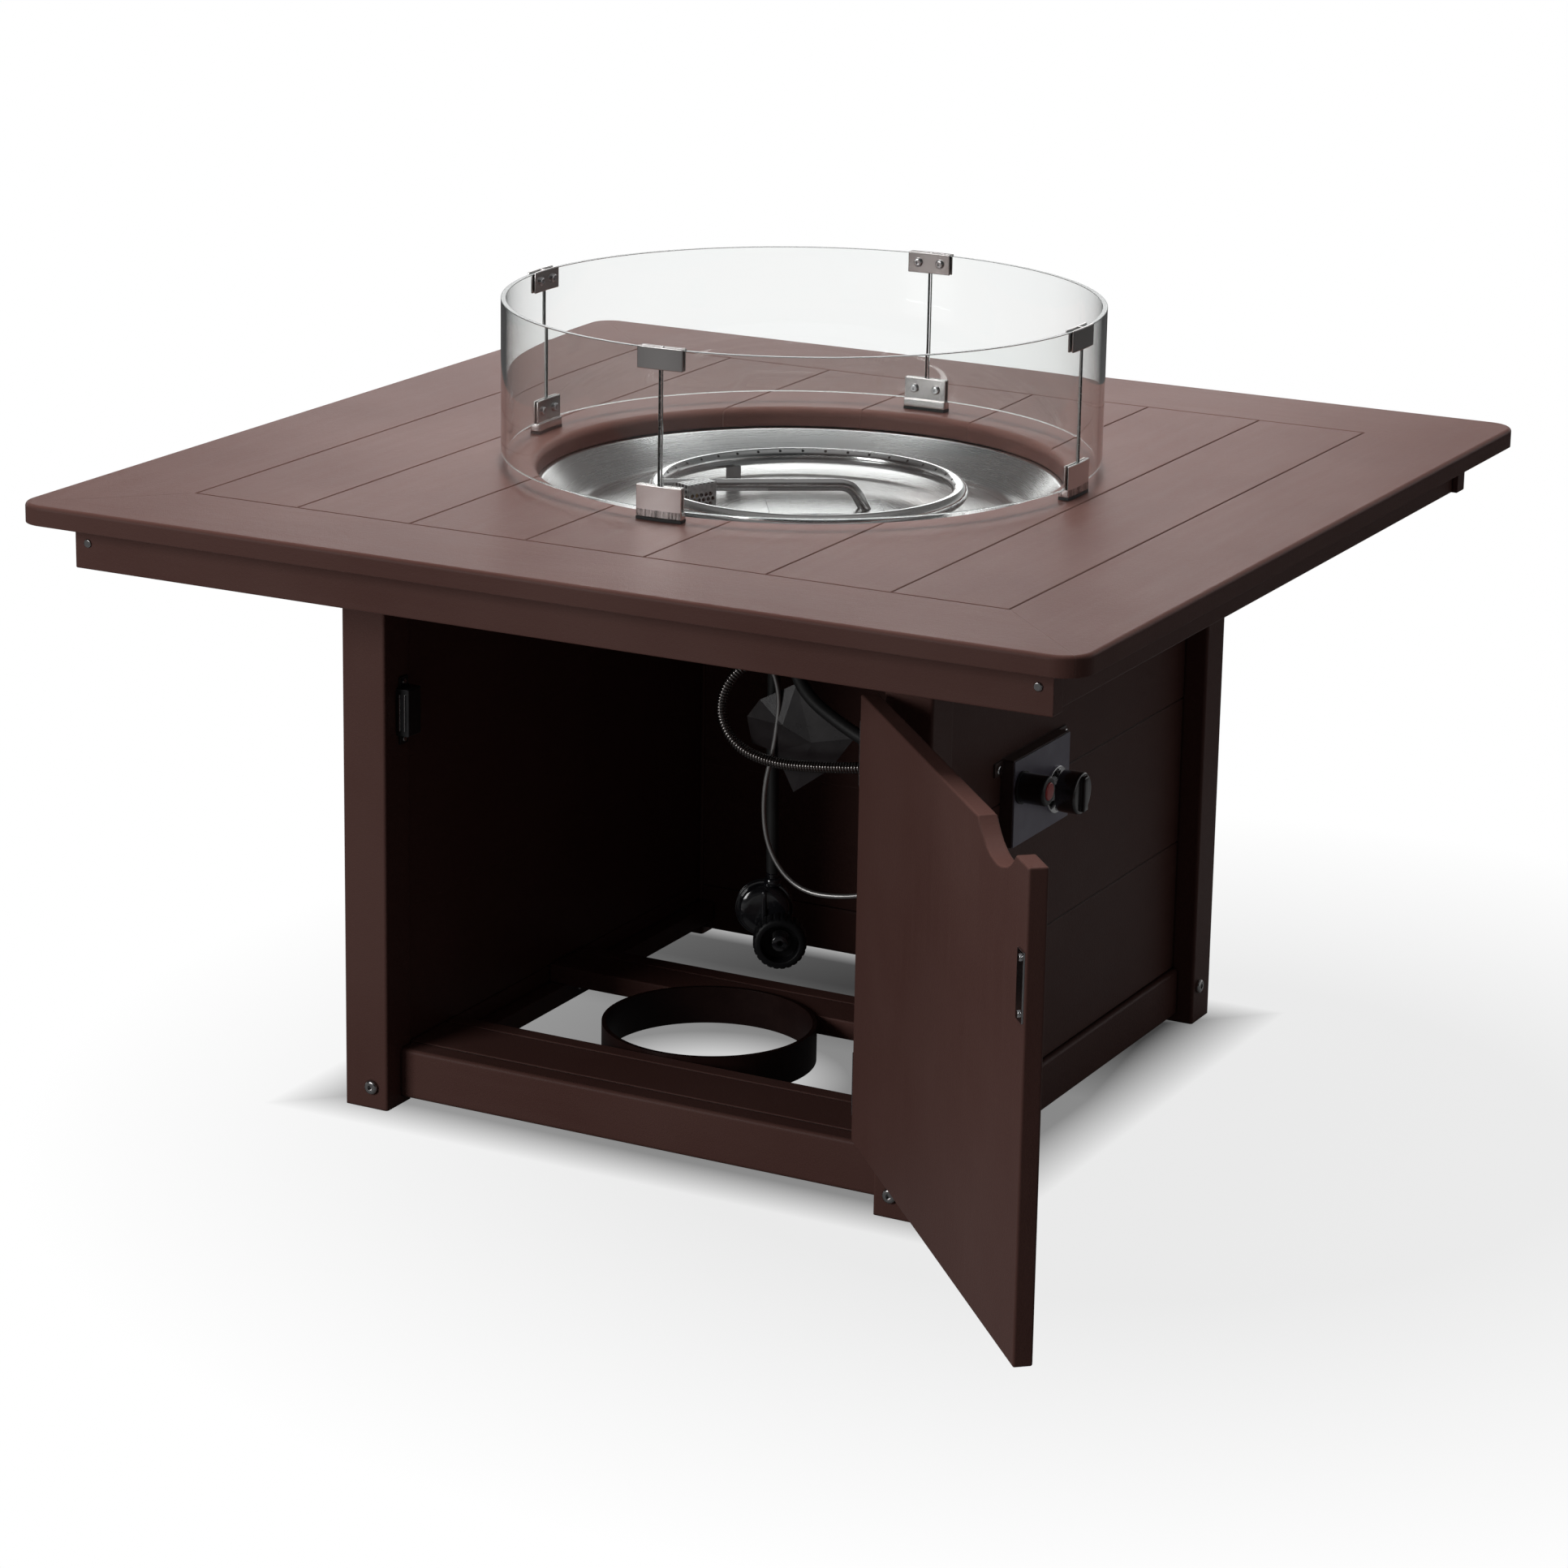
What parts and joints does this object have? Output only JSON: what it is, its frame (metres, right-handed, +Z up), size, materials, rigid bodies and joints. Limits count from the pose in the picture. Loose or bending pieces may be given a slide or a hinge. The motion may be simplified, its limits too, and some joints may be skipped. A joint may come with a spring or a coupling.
{
  "type": "fire pit table",
  "caption": "Square gas fire pit table: board top with a round burner opening and a glass wind guard, on a cabinet with a side-hung door, a control box, and a foot ring for a gas cylinder.",
  "frame": {"origin": "on the floor, below the middle of the table top", "axes": "+X to the right along the front edge, -Y to the front where the door is, +Z up"},
  "size_m": [1.1448, 1.2857, 0.773],
  "materials": {
    "brown_board": "fine grained dark brown board",
    "brown_ring": "satin dark brown",
    "brown_box": "satin brown paint",
    "polished_steel": "polished",
    "brushed_steel": "fine brushed",
    "dark_bolt": "polished",
    "black_plastic": "satin black",
    "black_knob": "soft gloss black",
    "red_plastic": "gloss red",
    "grey_plate": "satin light grey",
    "brass": "plain",
    "hose_steel": "ribbed bright metal",
    "black_rubber": "matt black",
    "pilot_metal": "dull light grey",
    "tag_sheet": "dull dark grey",
    "black_casting": "gloss black",
    "clear_glass": "clear toughened"
  },
  "bodies": {
    "cabinet": {"aprons_front_back": "brown_board", "aprons_side": "brown_board", "armoured_hose": "hose_steel", "burner_bracket": "brushed_steel", "burner_feed_tube": "brushed_steel", "burner_pan": "brushed_steel", "burner_ring": "brushed_steel", "cabinet_screws": "polished_steel", "catch_body": "black_plastic", "catch_poles": "polished_steel", "control_box": "brown_box", "control_plate": "grey_plate", "control_screws": "polished_steel", "cylinder_ring": "brown_ring", "floor_board_notched": "brown_board", "floor_boards": "brown_board", "floor_cleats": "brown_board", "gas_valve": "brass", "hinge_post_leaves": "polished_steel", "hose_tag": "tag_sheet", "igniter_body": "black_plastic", "pan_cover_plate": "brushed_steel", "pilot_burner": "brass", "pilot_shield": "brushed_steel", "pilot_tube": "pilot_metal", "post_bolts": "dark_bolt", "post_front_left": "brown_board", "post_front_right": "brown_board", "post_rear_left": "brown_board", "post_rear_right": "brown_board", "rail_rear": "brown_board", "rails_front": "brown_board", "rails_side": "brown_board", "regulator": "black_casting", "supply_hose": "black_rubber", "top_battens": "brown_board", "top_frame_back": "brown_board", "top_frame_front": "brown_board", "top_frame_left": "brown_board", "top_frame_right": "brown_board", "top_planks_bitten": "brown_board", "top_planks_edge": "brown_board", "top_planks_short": "brown_board", "valve_bezel": "polished_steel", "wall_left": "brown_board", "wall_rear": "brown_board", "wall_right": "brown_board"},
    "door": {"door": "brown_board", "strike_plate": "polished_steel", "strike_screws": "polished_steel", "hinge_door_leaves": "polished_steel"},
    "knob_sleeve": {"stem_sleeve": "polished_steel"},
    "knob": {"gas_knob": "black_knob"},
    "igniter_button": {"igniter_button": "red_plastic"},
    "hand_nut": {"hand_nut": "black_plastic"},
    "wind_guard": {"glass_panels": "clear_glass", "guard_clips_upper": "brushed_steel", "guard_clips_lower": "brushed_steel", "guard_clip_screws": "polished_steel", "guard_pads": "black_rubber"}
  },
  "joints": [
    {"name": "door_hinge", "type": "hinge", "parent": "cabinet", "child": "door", "pos_m": [0.262, -0.342, 0.286], "axis": [0, 0, 1], "range_deg": [-131.5, 43.5]},
    {"name": "knob_push", "type": "slide", "parent": "cabinet", "child": "knob_sleeve", "axis": [-1, 0, 0], "range_m": [0, 0.004], "stiffness_N_per_m": 1500, "springref_m": -0.002},
    {"name": "knob_turn", "type": "hinge", "parent": "knob_sleeve", "child": "knob", "pos_m": [0.313, -0.046, 0.338], "axis": [1, 0, 0], "range_deg": [0, 180]},
    {"name": "igniter_push", "type": "slide", "parent": "cabinet", "child": "igniter_button", "axis": [-1, 0, 0], "range_m": [0, 0.005], "stiffness_N_per_m": 800, "springref_m": -0.002},
    {"name": "hand_nut_turn", "type": "hinge", "parent": "cabinet", "child": "hand_nut", "pos_m": [-0.02467, 0.02049, 0.1205], "axis": [0.4602, -0.8878, 0], "continuous": true},
    {"name": "wind_guard_lift", "type": "slide", "parent": "cabinet", "child": "wind_guard", "axis": [0, 0, 1], "range_m": [0, 0.25]}
  ]
}
